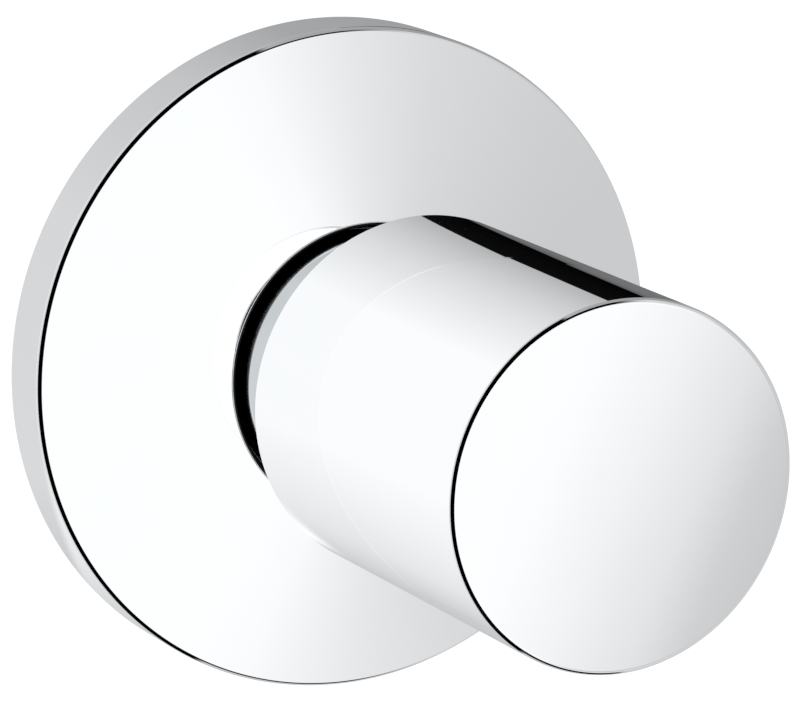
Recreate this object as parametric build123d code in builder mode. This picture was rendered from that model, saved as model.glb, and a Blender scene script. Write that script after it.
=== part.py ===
from build123d import *
import os
from math import atan, cos, radians, sin, tan

os.makedirs("parts", exist_ok=True)

# Concealed stop valve: the trim that shows on the wall and the head part that works it.
# Millimetres. The valve axis is Y, the front faces -Y, +Z is up, and the origin is
# the centre of the escutcheon's back face, on the finished wall.

# Handle
handle_diameter = 42.0
handle_length = 49.6
handle_gap = 12.7
handle_wall = 3.0
handle_face_thickness = 3.5
handle_front_edge = 0.6
handle_back_edge = 0.4
handle_back_slope = 15.0
handle_boss_wall = 2.4
handle_boss_length = 28.5
handle_rib_thickness = 1.6
handle_rib_length = 14.0
handle_rib_count = 6

# Escutcheon
escutcheon_diameter = 80.0
escutcheon_rim_depth = 8.0
escutcheon_height = 13.7
escutcheon_wall = 1.2
escutcheon_edge = 0.8
escutcheon_lip_edge = 0.55
escutcheon_collar_length = 6.2
seal_width = 3.6
seal_depth = 3.5

# Sleeve and its two rings
sleeve_wall = 2.7
sleeve_handle_gap = 1.3
sleeve_collar_gap = 0.5
sleeve_overlap = 8.5
sleeve_boss_length = 10.0
sleeve_front_chamfer = 0.8
sleeve_notch_width = 4.0
sleeve_notch_depth = 2.0
grip_ring_cord = 1.9
glide_ring_width = 3.0
glide_ring_depth = 1.2
glide_ring_setback = 1.2
glide_ring_split = 1.0

# Head body, from the sealing face of its flange
head_depth = 24.0
head_reach = 4.5
head_thread_diameter = 20.955
head_thread_depth = 1.162
head_thread_length = 11.0
head_hex_width = 22.0
head_hex_length = 6.4
head_hex_bevel = 30.0
flange_width = 2.7
flange_thickness = 1.6
barrel_wall = 3.9
sleeve_thread_step = 0.6
sleeve_thread_length = 13.0
head_front_chamfer = 0.6
head_seal_cord = 2.0

# Spindle
stem_diameter = 10.9
spindle_collar_width = 1.2
spindle_collar_length = 3.0
spindle_nut_length = 6.9
spindle_nut_step = 1.0
glide_washer_thickness = 1.0
spindle_ring_cord = 1.8
spindle_ring_pitch = 4.0
spindle_ring_setback = 3.0
clip_thickness = 1.2
clip_width = 2.3
clip_groove_depth = 1.4
clip_mouth = 80.0
clip_shoulder = 0.5
spline_teeth = 20
spline_length = 10.0
spline_depth = 0.6
spline_step = 0.6

# Piston and seat washer
drive_screw_diameter = 7.0
drive_screw_lead = 2.0
handle_turns = 2.75
drive_engagement = 7.0
piston_head_length = 4.0
piston_ring_cord = 1.8
piston_waist_diameter = 8.8
lug_width = 4.0
lug_thickness = 2.5
seat_washer_thickness = 3.5
backing_washer_diameter = 9.0
backing_washer_thickness = 0.8
seat_screw_length = 12.0
seat_screw_head_height = 2.2
seat_screw_slot_width = 1.0
seat_screw_slot_depth = 1.1

# Spindle extension, snap insert and the screw through both
extension_socket_wall = 2.1
extension_web = 3.0
extension_rod_diameter = 11.0
insert_flange_thickness = 1.6
insert_flange_width = 2.2
insert_key_count = 6
insert_key_width = 2.0
insert_key_height = 0.9
insert_finger_length = 5.5
insert_finger_wall = 2.3
insert_finger_slot = 1.6
insert_finger_slots = 2
insert_web = 3.0
insert_wall = 2.4
snap_bead = 0.5
snap_bead_setback = 1.6
screw_diameter = 4.0
screw_head_diameter = 7.0
handle_screw_head_height = 2.5
handle_screw_grip = 9.0
hex_key_width = 2.5
hex_key_depth = 1.5

# Clearances
running_clearance = 0.05
glide_clearance = 0.06
part_clearance = 0.3
end_play = 0.1
fit_clearance = 0.1
ring_clearance = 0.05
screw_clearance = 0.05
screw_pass = 0.2
stop_clearance = 0.5
front_clearance = 5.0

# Section plane: its x is the radius and its y the distance in front of the wall.
SECTION = Plane(origin=(0, 0, 0), x_dir=(1, 0, 0), z_dir=(0, 0, -1))


def across(distance):
    """Plane square to the valve axis, with its normal towards the front."""
    return Plane(origin=(0, -distance, 0), x_dir=(1, 0, 0), z_dir=(0, -1, 0))


def spline_outline(growth):
    """Serrated outline shared by the spindle, the extension and the insert."""
    tooth_angle = 360 / spline_teeth
    corners = []
    for tooth in range(spline_teeth):
        for share, radius in (
            (0.00, spline_radius),
            (0.25, spline_radius),
            (0.50, spline_radius - spline_depth),
            (0.75, spline_radius - spline_depth),
        ):
            angle = radians((tooth + share) * tooth_angle)
            reach = radius + growth
            corners.append((reach * cos(angle), reach * sin(angle)))
    with BuildSketch() as outline:
        with BuildLine():
            Polyline(*corners, close=True)
        make_face()
    return outline.sketch


# Radii, worked out from the axis outwards in the wall and from the handle inwards in front
handle_radius = handle_diameter / 2
cavity_radius = handle_radius - handle_wall
sleeve_radius = cavity_radius - sleeve_handle_gap
sleeve_bore = sleeve_radius - sleeve_wall
collar_bore = sleeve_radius + sleeve_collar_gap
escutcheon_radius = escutcheon_diameter / 2
rim_bore = escutcheon_radius - escutcheon_wall
stem_radius = stem_diameter / 2
stem_bore = stem_radius + running_clearance
spindle_collar_radius = stem_radius + spindle_collar_width
chamber_radius = spindle_collar_radius + part_clearance
piston_radius = chamber_radius - part_clearance
spindle_nut_radius = spindle_collar_radius - spindle_nut_step
drive_screw_radius = drive_screw_diameter / 2
drive_bore = drive_screw_radius + part_clearance
head_thread_radius = head_thread_diameter / 2
skirt_radius = head_thread_radius - head_thread_depth
flange_radius = head_thread_radius + flange_width
barrel_radius = stem_bore + barrel_wall
sleeve_thread_radius = barrel_radius + sleeve_thread_step
spline_radius = stem_radius - spline_step
extension_socket_radius = spline_radius + extension_socket_wall
extension_rod_radius = extension_rod_diameter / 2
screw_radius = screw_diameter / 2
screw_hole = screw_radius + screw_clearance
screw_pass_radius = screw_radius + screw_pass
screw_head_radius = screw_head_diameter / 2
insert_radius = spline_radius + insert_wall
socket_radius = insert_radius + fit_clearance
boss_radius = socket_radius + insert_key_height + handle_boss_wall
insert_flange_radius = insert_radius + insert_flange_width

# Distances in front of the wall, negative inside it
handle_back = escutcheon_height + handle_gap
handle_inner_back = handle_back - handle_wall * tan(radians(handle_back_slope))
handle_front = handle_back + handle_length
cavity_front = handle_front - handle_face_thickness
boss_back = cavity_front - handle_boss_length
sleeve_front = handle_back + sleeve_overlap
head_front = head_reach
sleeve_seat = head_front - stop_clearance
sleeve_back = sleeve_seat - sleeve_boss_length
flange_face = -head_depth
hex_back = flange_face + flange_thickness
hex_front = hex_back + head_hex_length
thread_front = flange_face - head_seal_cord
thread_back = thread_front - head_thread_length
stroke = drive_screw_lead * handle_turns
slot_front = thread_back - part_clearance
lug_front_open = slot_front - part_clearance
lug_front = lug_front_open - stroke
lug_back = lug_front - lug_thickness
skirt_back = lug_back - stop_clearance
collar_front = hex_front - glide_washer_thickness - end_play
collar_back = collar_front - spindle_collar_length
nut_back = collar_back - spindle_nut_length
piston_front = nut_back - stroke - stop_clearance
piston_back = piston_front - piston_head_length
drive_tip = nut_back + drive_engagement
drive_bore_front = drive_tip + stroke + stop_clearance
washer_back = lug_back - seat_washer_thickness
backing_back = washer_back - backing_washer_thickness
clip_back = head_front + end_play
clip_front = clip_back + clip_thickness
spline_back = clip_front + clip_shoulder
spline_front = spline_back + spline_length
extension_socket_front = spline_front + stop_clearance
extension_rod_back = extension_socket_front + extension_web
insert_front = cavity_front - front_clearance
screw_seat = insert_front - insert_finger_length
insert_web_back = screw_seat - insert_web
extension_front = insert_web_back - fit_clearance
insert_back = boss_back - insert_flange_thickness
extension_shoulder = insert_back - part_clearance
screw_tip = spline_front - handle_screw_grip

# Handle: a cast cup with a splined socket on a boss, braced to the wall by ribs
snap_bead_place = insert_front - snap_bead_setback
rib_root = handle_boss_wall / 3

with BuildPart() as handle:
    with BuildSketch(SECTION):
        with BuildLine():
            Polyline(
                (0, handle_front),
                (handle_radius, handle_front),
                (handle_radius, handle_back),
                (cavity_radius, handle_inner_back),
                (cavity_radius, cavity_front),
                (0, cavity_front),
                close=True,
            )
        make_face()
    revolve(axis=Axis.Y)
    front_rim = handle.edges().group_by(Axis.Y)[0]
    fillet(front_rim, handle_front_edge)
    side_edges = handle.edges().filter_by(GeomType.CIRCLE).sort_by(SortBy.RADIUS)[-2:]
    fillet(side_edges.sort_by(Axis.Y)[-1], handle_back_edge)
    with BuildSketch(across(boss_back)):
        Circle(boss_radius)
    extrude(amount=handle_boss_length)
    with BuildSketch(across(cavity_front)):
        rib_span = cavity_radius - boss_radius + 2 * rib_root
        with PolarLocations((cavity_radius + boss_radius) / 2, handle_rib_count):
            Rectangle(rib_span, handle_rib_thickness)
    extrude(amount=-handle_rib_length)
    with BuildSketch(across(cavity_front)):
        Circle(socket_radius)
        with PolarLocations(socket_radius, insert_key_count):
            Rectangle(2 * (insert_key_height + fit_clearance), insert_key_width + 2 * fit_clearance)
    extrude(amount=-handle_boss_length, mode=Mode.SUBTRACT)
    with BuildSketch(SECTION):
        with BuildLine():
            Polyline(
                (socket_radius - fit_clearance, snap_bead_place + 2 * snap_bead + fit_clearance),
                (socket_radius + snap_bead, snap_bead_place + fit_clearance),
                (socket_radius + snap_bead, snap_bead_place - fit_clearance),
                (socket_radius - fit_clearance, snap_bead_place - 2 * snap_bead - fit_clearance),
                close=True,
            )
        make_face()
    revolve(axis=Axis.Y, mode=Mode.SUBTRACT)

handle.part.label = "handle"
export_step(handle.part, "parts/handle.step")

# Snap insert: a moulded plug with keys, snap fingers and a socket for the extension
with BuildPart() as snap_insert:
    with BuildSketch(SECTION):
        with BuildLine():
            Polyline(
                (0, insert_back),
                (insert_flange_radius, insert_back),
                (insert_flange_radius, boss_back),
                (insert_radius, boss_back),
                (insert_radius, snap_bead_place - 2 * snap_bead),
                (insert_radius + snap_bead, snap_bead_place),
                (insert_radius, snap_bead_place + 2 * snap_bead),
                (insert_radius, insert_front),
                (insert_radius - insert_finger_wall, insert_front),
                (insert_radius - insert_finger_wall, screw_seat),
                (0, screw_seat),
                close=True,
            )
        make_face()
    revolve(axis=Axis.Y)
    with BuildSketch(across(boss_back)):
        with PolarLocations(insert_radius, insert_key_count):
            Rectangle(2 * insert_key_height, insert_key_width)
    extrude(amount=insert_web_back - boss_back)
    with BuildSketch(across(insert_back)):
        add(spline_outline(fit_clearance))
    extrude(amount=insert_web_back - insert_back, mode=Mode.SUBTRACT)
    with BuildSketch(across(insert_back)):
        Circle(screw_pass_radius)
    extrude(amount=insert_front - insert_back, mode=Mode.SUBTRACT)
    with BuildSketch(across(screw_seat)):
        finger_reach = 2 * (insert_radius + snap_bead)
        for slot in range(insert_finger_slots):
            with Locations(Rotation(0, 0, slot * 180 / insert_finger_slots)):
                Rectangle(finger_reach, insert_finger_slot)
    extrude(amount=insert_finger_length, mode=Mode.SUBTRACT)

snap_insert.part.label = "snap_insert"
export_step(snap_insert.part, "parts/snap_insert.step")

# Handle screw: a socket cap screw through the insert and the extension into the spindle
with BuildPart() as handle_screw:
    with BuildSketch(SECTION):
        with BuildLine():
            Polyline(
                (0, screw_tip),
                (screw_radius - screw_pass, screw_tip),
                (screw_radius, screw_tip + screw_pass),
                (screw_radius, screw_seat),
                (screw_head_radius, screw_seat),
                (screw_head_radius, screw_seat + handle_screw_head_height),
                (0, screw_seat + handle_screw_head_height),
                close=True,
            )
        make_face()
    revolve(axis=Axis.Y)
    with BuildSketch(across(screw_seat + handle_screw_head_height)):
        RegularPolygon(hex_key_width / 2, 6, major_radius=False)
    extrude(amount=-hex_key_depth, mode=Mode.SUBTRACT)

handle_screw.part.label = "handle_screw"
export_step(handle_screw.part, "parts/handle_screw.step")

# Spindle extension: a splined socket on the spindle and splines for the insert
with BuildPart() as spindle_extension:
    with BuildSketch(SECTION):
        with BuildLine():
            Polyline(
                (0, spline_back),
                (extension_socket_radius, spline_back),
                (extension_socket_radius, extension_rod_back),
                (extension_rod_radius, extension_rod_back + extension_socket_radius - extension_rod_radius),
                (extension_rod_radius, extension_shoulder),
                (0, extension_shoulder),
                close=True,
            )
        make_face()
    revolve(axis=Axis.Y)
    with BuildSketch(across(extension_shoulder)):
        add(spline_outline(0))
    extrude(amount=extension_front - extension_shoulder)
    with BuildSketch(across(spline_back)):
        add(spline_outline(fit_clearance))
    extrude(amount=extension_socket_front - spline_back, mode=Mode.SUBTRACT)
    with BuildSketch(across(spline_back)):
        Circle(screw_pass_radius)
    extrude(amount=extension_front - spline_back, mode=Mode.SUBTRACT)

spindle_extension.part.label = "spindle_extension"
export_step(spindle_extension.part, "parts/spindle_extension.step")

# Spindle: splined at the front, ringed stem, thrust collar and a threaded nut behind it
spindle_ring_places = [
    head_front - spindle_ring_setback,
    head_front - spindle_ring_setback - spindle_ring_pitch,
]
spindle_ring_floor = stem_radius - spindle_ring_cord
clip_floor = stem_radius - clip_groove_depth

with BuildPart() as spindle:
    with BuildSketch(SECTION):
        with BuildLine():
            Polyline(
                (drive_bore, nut_back),
                (spindle_nut_radius, nut_back),
                (spindle_nut_radius, collar_back),
                (spindle_collar_radius, collar_back),
                (spindle_collar_radius, collar_front),
                (stem_radius, collar_front),
                (stem_radius, spline_back),
                (0, spline_back),
                (0, drive_bore_front + drive_bore / 2),
                (drive_bore, drive_bore_front),
                close=True,
            )
        make_face()
    revolve(axis=Axis.Y)
    with BuildSketch(across(spline_back)):
        add(spline_outline(0))
    extrude(amount=spline_length)
    with BuildSketch(SECTION):
        for place in spindle_ring_places:
            with Locations((spindle_ring_floor, place)):
                Rectangle(
                    2 * spindle_ring_cord,
                    spindle_ring_cord + 2 * fit_clearance,
                    align=(Align.MIN, Align.CENTER),
                )
        with Locations((clip_floor, clip_back)):
            Rectangle(2 * clip_groove_depth, clip_thickness, align=(Align.MIN, Align.MIN))
    revolve(axis=Axis.Y, mode=Mode.SUBTRACT)
    with BuildSketch(across(spline_front)):
        Circle(screw_hole)
    extrude(amount=-(handle_screw_grip + stop_clearance), mode=Mode.SUBTRACT)

spindle.part.label = "spindle"
export_step(spindle.part, "parts/spindle.step")

# Retaining clip: an open steel ring in the spindle's groove, in front of the head body
clip_bore = clip_floor + ring_clearance
clip_radius = clip_bore + clip_width

with BuildPart() as retaining_clip:
    with BuildSketch(across(clip_back)):
        Circle(clip_radius)
        Circle(clip_bore, mode=Mode.SUBTRACT)
        half_mouth = clip_radius * tan(radians(clip_mouth / 2))
        with BuildLine():
            Polyline((0, 0), (half_mouth, -clip_radius), (-half_mouth, -clip_radius), close=True)
        make_face(mode=Mode.SUBTRACT)
    extrude(amount=clip_thickness)

retaining_clip.part.label = "retaining_clip"
export_step(retaining_clip.part, "parts/retaining_clip.step")

# Head body: hexagon and flange, male threads at both ends, slotted skirt behind
with BuildPart() as head_body:
    with BuildSketch(SECTION):
        with BuildLine():
            Polyline(
                (chamber_radius, skirt_back),
                (skirt_radius, skirt_back),
                (skirt_radius, thread_back),
                (head_thread_radius, thread_back),
                (head_thread_radius, thread_front),
                (skirt_radius, thread_front),
                (skirt_radius, flange_face),
                (flange_radius, flange_face),
                (flange_radius, hex_back),
                (barrel_radius, hex_back),
                (barrel_radius, head_front - sleeve_thread_length),
                (sleeve_thread_radius, head_front - sleeve_thread_length),
                (sleeve_thread_radius, head_front),
                (stem_bore, head_front),
                (stem_bore, hex_front),
                (chamber_radius, hex_front),
                close=True,
            )
        make_face()
    revolve(axis=Axis.Y)
    front_mouth = head_body.edges().group_by(Axis.Y)[0].sort_by(SortBy.RADIUS)[-1]
    chamfer(front_mouth, head_front_chamfer)
    with BuildSketch(across(hex_back)):
        RegularPolygon(head_hex_width / 2, 6, major_radius=False)
        Circle(barrel_radius, mode=Mode.SUBTRACT)
    extrude(amount=head_hex_length)
    hex_corner = head_hex_width / 2 / cos(radians(30))
    hex_bevel = (hex_corner - head_hex_width / 2) * tan(radians(head_hex_bevel))
    with BuildSketch(SECTION):
        with BuildLine():
            Polyline(
                (head_hex_width / 2, hex_front),
                (hex_corner, hex_front - hex_bevel),
                (hex_corner + hex_bevel, hex_front - hex_bevel),
                (hex_corner + hex_bevel, hex_front),
                close=True,
            )
        make_face()
    revolve(axis=Axis.Y, mode=Mode.SUBTRACT)
    with BuildSketch(across(skirt_back)):
        Rectangle(2 * flange_radius, lug_width + 2 * part_clearance)
        Circle(piston_radius, mode=Mode.SUBTRACT)
    extrude(amount=slot_front - skirt_back, mode=Mode.SUBTRACT)

head_body.part.label = "head_body"
export_step(head_body.part, "parts/head_body.step")

# Piston: a drive screw, a ringed head and a keyed foot that carries the seat washer
piston_ring_floor = piston_radius + part_clearance - ring_clearance - piston_ring_cord
piston_ring_place = (piston_front + piston_back) / 2
piston_waist_radius = piston_waist_diameter / 2
lug_reach = skirt_radius - part_clearance

with BuildPart() as piston:
    with BuildSketch(SECTION):
        with BuildLine():
            Polyline(
                (0, lug_back),
                (piston_radius, lug_back),
                (piston_radius, lug_front),
                (piston_waist_radius, lug_front),
                (piston_waist_radius, piston_back),
                (piston_radius, piston_back),
                (piston_radius, piston_front),
                (drive_screw_radius, piston_front),
                (drive_screw_radius, drive_tip),
                (0, drive_tip),
                close=True,
            )
        make_face()
    revolve(axis=Axis.Y)
    chamfer(piston.edges().group_by(Axis.Y)[0], stop_clearance)
    with BuildSketch(across(lug_back)):
        Rectangle(2 * lug_reach, lug_width)
    extrude(amount=lug_thickness)
    with BuildSketch(SECTION):
        with Locations((piston_ring_floor, piston_ring_place)):
            Rectangle(
                2 * piston_ring_cord,
                piston_ring_cord + 2 * fit_clearance,
                align=(Align.MIN, Align.CENTER),
            )
    revolve(axis=Axis.Y, mode=Mode.SUBTRACT)
    with BuildSketch(across(lug_back)):
        Circle(screw_hole)
    extrude(amount=seat_screw_length, mode=Mode.SUBTRACT)

piston.part.label = "piston"
export_step(piston.part, "parts/piston.step")

# Seat screw: a slotted pan head that clamps the seat washer to the piston
with BuildPart() as seat_screw:
    seat_screw_tip = backing_back + seat_screw_length
    seat_screw_back = backing_back - seat_screw_head_height
    with BuildSketch(SECTION):
        with BuildLine():
            Polyline(
                (0, seat_screw_back),
                (screw_head_radius, seat_screw_back),
                (screw_head_radius, backing_back),
                (screw_radius, backing_back),
                (screw_radius, seat_screw_tip - screw_pass),
                (screw_radius - screw_pass, seat_screw_tip),
                (0, seat_screw_tip),
                close=True,
            )
        make_face()
    revolve(axis=Axis.Y)
    fillet(seat_screw.edges().group_by(Axis.Y)[-1], seat_screw_head_height / 3)
    with BuildSketch(across(seat_screw_back)):
        Rectangle(2 * screw_head_radius, seat_screw_slot_width)
    extrude(amount=seat_screw_slot_depth, mode=Mode.SUBTRACT)

seat_screw.part.label = "seat_screw"
export_step(seat_screw.part, "parts/seat_screw.step")

# Sleeve: the neck that shows behind the handle, screwed onto the head body's front thread
grip_ring_floor = collar_bore - ring_clearance - grip_ring_cord
collar_back_edge = escutcheon_height - escutcheon_collar_length
grip_ring_place = collar_back_edge + escutcheon_collar_length / 3
glide_ring_front = sleeve_front - glide_ring_setback
glide_ring_floor = sleeve_radius - glide_ring_depth

with BuildPart() as sleeve:
    with BuildSketch(SECTION):
        with BuildLine():
            Polyline(
                (sleeve_thread_radius, sleeve_back),
                (sleeve_radius, sleeve_back),
                (sleeve_radius, sleeve_front),
                (sleeve_bore, sleeve_front),
                (sleeve_bore, sleeve_seat),
                (sleeve_thread_radius, sleeve_seat),
                close=True,
            )
        make_face()
    revolve(axis=Axis.Y)
    front_edge = sleeve.edges().group_by(Axis.Y)[0].sort_by(SortBy.RADIUS)[-1]
    chamfer(front_edge, sleeve_front_chamfer)
    with BuildSketch(SECTION):
        with Locations((grip_ring_floor, grip_ring_place)):
            Rectangle(
                2 * grip_ring_cord,
                grip_ring_cord + 2 * fit_clearance,
                align=(Align.MIN, Align.CENTER),
            )
        with Locations((glide_ring_floor, glide_ring_front)):
            Rectangle(2 * glide_ring_depth, glide_ring_width, align=(Align.MIN, Align.MAX))
    revolve(axis=Axis.Y, mode=Mode.SUBTRACT)
    with BuildSketch(across(sleeve_back)):
        Rectangle(2 * sleeve_radius, sleeve_notch_width)
        Circle(sleeve_bore, mode=Mode.SUBTRACT)
    extrude(amount=sleeve_notch_depth, mode=Mode.SUBTRACT)

sleeve.part.label = "sleeve"
export_step(sleeve.part, "parts/sleeve.step")

# Glide ring: a split bearing ring in the sleeve's front groove, inside the handle
with BuildPart() as glide_ring:
    with BuildSketch(across(glide_ring_front)):
        Circle(cavity_radius - glide_clearance)
        Circle(glide_ring_floor, mode=Mode.SUBTRACT)
        with Locations((0, -sleeve_radius)):
            Rectangle(glide_ring_split, 2 * sleeve_handle_gap + 2 * glide_ring_depth, mode=Mode.SUBTRACT)
    extrude(amount=-glide_ring_width)

glide_ring.part.label = "glide_ring"
export_step(glide_ring.part, "parts/glide_ring.step")

# Escutcheon: a drawn shell with a straight rim, a shallow cone and a collar turned inwards
cone_slope = (escutcheon_height - escutcheon_rim_depth) / (escutcheon_radius - collar_bore)
cone_wall = escutcheon_wall / cos(atan(cone_slope))
collar_radius = collar_bore + escutcheon_wall
inner_rim_front = escutcheon_rim_depth + cone_slope * escutcheon_wall - cone_wall
inner_collar_front = escutcheon_height - cone_slope * escutcheon_wall - cone_wall

with BuildPart() as escutcheon:
    with BuildSketch(SECTION):
        with BuildLine():
            Polyline(
                (escutcheon_radius, 0),
                (escutcheon_radius, escutcheon_rim_depth),
                (collar_bore, escutcheon_height),
                (collar_bore, collar_back_edge),
                (collar_radius, collar_back_edge),
                (collar_radius, inner_collar_front),
                (rim_bore, inner_rim_front),
                (rim_bore, 0),
                close=True,
            )
        make_face()
    revolve(axis=Axis.Y)
    rounds = escutcheon.edges().filter_by(GeomType.CIRCLE)
    lip = rounds.sort_by(Axis.Y)[0]
    fillet(lip, escutcheon_lip_edge)
    rim_edges = escutcheon.edges().filter_by(GeomType.CIRCLE).sort_by(SortBy.RADIUS)[-2:]
    fillet(rim_edges.sort_by(Axis.Y)[0], escutcheon_edge)

escutcheon.part.label = "escutcheon"
export_step(escutcheon.part, "parts/escutcheon.step")

# Wall seal: a soft ring glued inside the rim, flush with the wall
with BuildPart() as wall_seal:
    with BuildSketch(across(0)):
        Circle(rim_bore)
        Circle(rim_bore - seal_width, mode=Mode.SUBTRACT)
    extrude(amount=seal_depth)

wall_seal.part.label = "wall_seal"
export_step(wall_seal.part, "parts/wall_seal.step")

# Flat washers: outer radius, bore, back face and thickness
flat_washers = {
    "glide_washer": (
        spindle_collar_radius,
        stem_radius + part_clearance,
        hex_front - glide_washer_thickness,
        glide_washer_thickness,
    ),
    "seat_washer": (piston_radius, screw_pass_radius, washer_back, seat_washer_thickness),
    "backing_washer": (
        backing_washer_diameter / 2,
        screw_pass_radius,
        backing_back,
        backing_washer_thickness,
    ),
}

for name, (outer_radius, bore, back, thickness) in flat_washers.items():
    with BuildPart() as washer:
        with BuildSketch(across(back)):
            Circle(outer_radius)
            Circle(bore, mode=Mode.SUBTRACT)
        extrude(amount=thickness)
    washer.part.label = name
    export_step(washer.part, f"parts/{name}.step")

# Sealing rings: floor of the groove, cord diameter and place along the axis
sealing_rings = {
    "grip_ring": (grip_ring_floor, grip_ring_cord, grip_ring_place),
    "head_seal": (skirt_radius, head_seal_cord, flange_face - head_seal_cord / 2),
    "piston_ring": (piston_ring_floor, piston_ring_cord, piston_ring_place),
    "spindle_ring_front": (spindle_ring_floor, spindle_ring_cord, spindle_ring_places[0]),
    "spindle_ring_rear": (spindle_ring_floor, spindle_ring_cord, spindle_ring_places[1]),
}

for name, (floor_radius, cord, place) in sealing_rings.items():
    with BuildPart() as sealing_ring:
        with BuildSketch(SECTION):
            with Locations((floor_radius + cord / 2, place)):
                Circle(cord / 2)
        revolve(axis=Axis.Y)
    sealing_ring.part.label = name
    export_step(sealing_ring.part, f"parts/{name}.step")
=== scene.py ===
import logging
import math
from dataclasses import dataclass, field
from enum import Enum
from typing import Any, Callable, Iterable, Sequence, Union

import bmesh
import bpy
from mathutils import Matrix, Vector


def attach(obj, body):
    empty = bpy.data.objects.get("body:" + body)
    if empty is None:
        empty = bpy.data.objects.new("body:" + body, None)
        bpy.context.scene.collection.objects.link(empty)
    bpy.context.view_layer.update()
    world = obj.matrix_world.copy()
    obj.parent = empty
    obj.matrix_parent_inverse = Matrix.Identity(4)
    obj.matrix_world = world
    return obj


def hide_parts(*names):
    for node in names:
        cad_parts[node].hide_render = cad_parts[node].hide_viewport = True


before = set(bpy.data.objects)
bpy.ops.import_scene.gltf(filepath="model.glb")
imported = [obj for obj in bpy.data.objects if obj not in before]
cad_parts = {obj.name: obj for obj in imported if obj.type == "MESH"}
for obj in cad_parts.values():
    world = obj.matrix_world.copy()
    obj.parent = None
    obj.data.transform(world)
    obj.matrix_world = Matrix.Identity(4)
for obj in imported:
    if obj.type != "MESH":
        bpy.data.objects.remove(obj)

logging.basicConfig(level=logging.INFO, format="%(message)s")
LOG = logging.getLogger("stop_valve")

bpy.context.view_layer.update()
MM = 0.001
AXIS = Vector((0.0, 1.0, 0.0))
ORIGIN = Vector((0.0, 0.0, 0.0))
FULL_TURN = 2.0 * math.pi
WELD = 2e-7
LOOSE_WELD = WELD * 10
SHARP_ANGLE = math.radians(32.0)
CRISP_ANGLE = math.radians(20.0)
VIEW = (0.435, 0.8713, -0.2272)
WHITE = (1.0, 1.0, 1.0, 1.0)
MIX_SHARE, MIX_FIRST, MIX_SECOND = 0, 6, 7

Triple = tuple[float, float, float]
Span = tuple[float, float]
Ramp = tuple[tuple[float, float], ...]
Number = Union[float, "Wire"]
Direction = tuple["Wire", "Wire", "Wire"]
Sockets = dict[str | int, Any]


class Body(Enum):
    """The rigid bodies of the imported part."""

    WALL = "wall_set"
    TURNING = "turning_set"
    PISTON = "piston_set"


class Slot(Enum):
    """The material slots that the record names."""

    CHROME = "chrome"
    BRASS = "brass"
    RUBBER = "black_rubber"
    FOAM = "grey_foam"
    ACETAL = "white_acetal"
    PLASTIC = "grey_plastic"
    STEEL = "steel"


class Op(Enum):
    """Arithmetic of a Math node."""

    ADD = "ADD"
    SUBTRACT = "SUBTRACT"
    MULTIPLY = "MULTIPLY"
    DIVIDE = "DIVIDE"
    MAXIMUM = "MAXIMUM"
    SINE = "SINE"
    SQRT = "SQRT"
    ARCTAN2 = "ARCTAN2"


class Wire:
    """A shader socket that can be used in Python arithmetic."""

    def __init__(self, graph: "Graph", socket: bpy.types.NodeSocket) -> None:
        """Keeps the socket and the graph that it belongs to."""
        self.graph = graph
        self.socket = socket

    def __add__(self, other: Number) -> "Wire":
        """Sum."""
        return self.graph.maths(Op.ADD, self, other)

    def __radd__(self, other: float) -> "Wire":
        """Sum, with a number first."""
        return self.graph.maths(Op.ADD, other, self)

    def __sub__(self, other: Number) -> "Wire":
        """Difference."""
        return self.graph.maths(Op.SUBTRACT, self, other)

    def __rsub__(self, other: float) -> "Wire":
        """Difference, with a number first."""
        return self.graph.maths(Op.SUBTRACT, other, self)

    def __mul__(self, other: Number) -> "Wire":
        """Product."""
        return self.graph.maths(Op.MULTIPLY, self, other)

    def __rmul__(self, other: float) -> "Wire":
        """Product, with a number first."""
        return self.graph.maths(Op.MULTIPLY, other, self)

    def __truediv__(self, other: Number) -> "Wire":
        """Quotient."""
        return self.graph.maths(Op.DIVIDE, self, other)

    def __rtruediv__(self, other: float) -> "Wire":
        """Quotient, with a number first."""
        return self.graph.maths(Op.DIVIDE, other, self)

    def larger(self, other: Number) -> "Wire":
        """The larger of two values."""
        return self.graph.maths(Op.MAXIMUM, self, other)

    def step(self, low: float, high: float) -> "Wire":
        """Smooth step from 0 at low to 1 at high.

        Args:
            low: Value at which the step starts. It may be above high.
            high: Value at which the step ends.

        Returns:
            The step, between 0 and 1.
        """
        start, end, turned = (low, high, False) if low < high else (high, low, True)
        step = self.graph.node(
            "ShaderNodeMapRange",
            {"interpolation_type": "SMOOTHSTEP"},
            {"Value": self, "From Min": start, "From Max": end},
        )["Result"]
        return 1.0 - step if turned else step


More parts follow.
